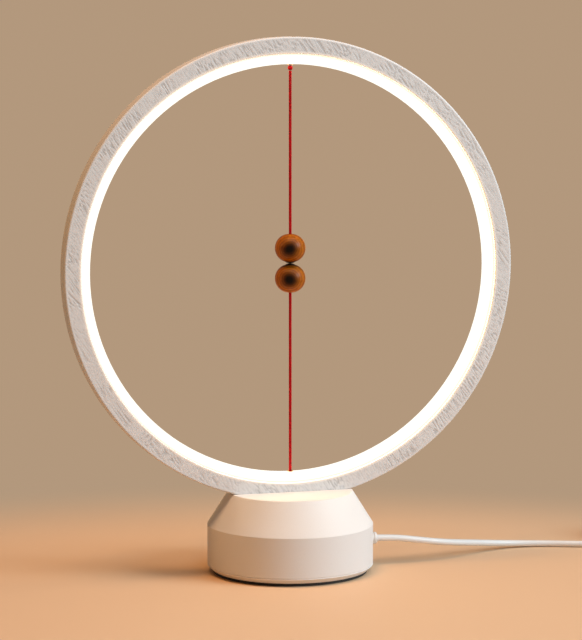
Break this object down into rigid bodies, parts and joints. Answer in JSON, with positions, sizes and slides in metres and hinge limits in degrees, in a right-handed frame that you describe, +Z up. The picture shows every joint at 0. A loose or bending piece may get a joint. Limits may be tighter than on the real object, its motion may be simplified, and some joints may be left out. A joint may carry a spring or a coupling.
{
  "type": "magnetic balance lamp",
  "caption": "Table lamp with a lit ring on a round weighted base. Magnetic wooden balls hung on cords inside the ring work its switch when they meet.",
  "frame": {"origin": "on the table under the middle of the base, where the foot ring stands", "axes": "+Z up, -Y is the front that the ring's face looks to, +X to the right where the lead leaves the base"},
  "size_m": [0.3487, 0.1166, 0.2565],
  "materials": {
    "white_shell": "satin, lightly textured",
    "ring_white": "fine brushed grain running outwards",
    "lit_diffuser": "frosted, lit from inside",
    "lit_chip": "clear resin over phosphor",
    "strip_white": "smooth",
    "black_rubber": "matte",
    "steel": "satin",
    "spring_steel": "bright drawn wire",
    "cast_weight": "rough casting",
    "black_nylon": "moulded",
    "grey_acetal": "moulded",
    "red_button": "smooth",
    "brass_fitting": "satin",
    "red_cord": "fine braid",
    "ball_wood": "oiled and polished",
    "magnet_plating": "nickel plate",
    "board_green": "solder mask",
    "chip_black": "moulded",
    "wire_red": "smooth",
    "wire_grey": "smooth",
    "white_rubber": "satin",
    "white_lead": "smooth, satin",
    "tie_strap": "woven hook-and-loop",
    "plug_white": "moulded",
    "plug_nickel": "nickel plate",
    "plug_tongue": "moulded",
    "gold_contact": "gold flash"
  },
  "bodies": {
    "base": {"base_shell": "white_shell", "base_plate": "white_shell", "foot_ring": "black_rubber", "plate_screws": "steel", "counterweight": "cast_weight", "weight_screws": "steel", "ring_saddle": "black_nylon", "saddle_screws": "steel", "ring_screws": "steel", "ring_rear_shell": "ring_white", "ring_front_cover": "ring_white", "ring_diffuser": "lit_diffuser", "led_strip": "strip_white", "led_chips": "lit_chip", "upper_eyelet": "brass_fitting", "lower_eyelet": "brass_fitting", "upper_cord_root": "red_cord", "switch_frame": "black_nylon", "frame_screws": "steel", "lever_pin": "steel", "pin_clip": "steel", "return_spring": "spring_steel", "microswitch_body": "black_nylon", "microswitch_terminals": "brass_fitting", "switch_screws": "steel", "board_standoffs": "brass_fitting", "control_board": "board_green", "board_screws": "steel", "board_components": "chip_black", "led_wires": "wire_red", "switch_wires": "wire_grey", "supply_wires": "wire_red", "lead_boot": "white_rubber", "lead_inner": "white_lead", "lead_clamp": "black_nylon", "clamp_screws": "steel", "supply_lead": "white_lead", "lead_coil": "white_lead", "coil_tie": "tie_strap", "plug_body": "plug_white", "plug_shell": "plug_nickel", "plug_insert": "plug_tongue", "plug_contacts": "gold_contact"},
    "upper_swivel": {"upper_knot": "red_cord"},
    "upper_pendulum": {"upper_cord": "red_cord", "upper_ball": "ball_wood", "upper_magnet": "magnet_plating", "upper_crimp": "brass_fitting"},
    "pull_cord": {"pull_cord_tail": "red_cord", "pull_bead": "brass_fitting"},
    "lower_cord_lower": {"lower_cord_lower_half": "red_cord"},
    "lower_cord_upper": {"lower_cord_upper_half": "red_cord"},
    "lower_pendulum": {"lower_ball": "ball_wood", "lower_magnet": "magnet_plating", "lower_crimp": "brass_fitting", "lower_ball_cord": "red_cord"},
    "lever": {"switch_lever": "grey_acetal"},
    "plunger": {"microswitch_plunger": "red_button"}
  },
  "joints": [
    {"name": "upper_swing_fore_aft", "type": "hinge", "parent": "base", "child": "upper_swivel", "pos_m": [0, 0, 0.24183], "axis": [1, 0, 0], "range_deg": [-45, 45]},
    {"name": "upper_swing_side", "type": "hinge", "parent": "upper_swivel", "child": "upper_pendulum", "pos_m": [0, 0, 0.24183], "axis": [0, 1, 0], "range_deg": [-45, 45]},
    {"name": "pull_travel", "type": "slide", "parent": "base", "child": "pull_cord", "axis": [0, 0, 1], "range_m": [-0.003, 0], "stiffness_N_per_m": 40, "springref_m": -0.006, "deforming": ["return_spring"]},
    {"name": "lower_cord_fold", "type": "hinge", "parent": "pull_cord", "child": "lower_cord_lower", "pos_m": [0, 0, 0.05197], "axis": [1, 0, 0], "range_deg": [0, 86], "deforming": ["lower_cord_lower_half", "lower_cord_upper_half"]},
    {"name": "lower_cord_knee", "type": "hinge", "parent": "lower_cord_lower", "child": "lower_cord_upper", "pos_m": [0, 0, 0.09348], "axis": [1, 0, 0], "range_deg": [-172, 0]},
    {"name": "lower_ball_level", "type": "hinge", "parent": "lower_cord_upper", "child": "lower_pendulum", "pos_m": [0, 0, 0.135], "axis": [1, 0, 0], "range_deg": [0, 86]},
    {"name": "lever_turn", "type": "hinge", "parent": "base", "child": "lever", "pos_m": [-0.016, 0, 0.0234], "axis": [0, 1, 0], "range_deg": [0, 10.75]},
    {"name": "plunger_press", "type": "slide", "parent": "base", "child": "plunger", "axis": [0, 0, 1], "range_m": [-0.0005, 0]}
  ],
  "couplings": [
    {"joint": "lower_cord_knee", "follows": "lower_cord_fold", "ratio": -2},
    {"joint": "lower_ball_level", "follows": "lower_cord_fold", "ratio": 1},
    {"joint": "lever_turn", "follows": "pull_travel", "rad_per_m": -62.5},
    {"joint": "plunger_press", "follows": "pull_travel", "ratio": 0.16666}
  ]
}
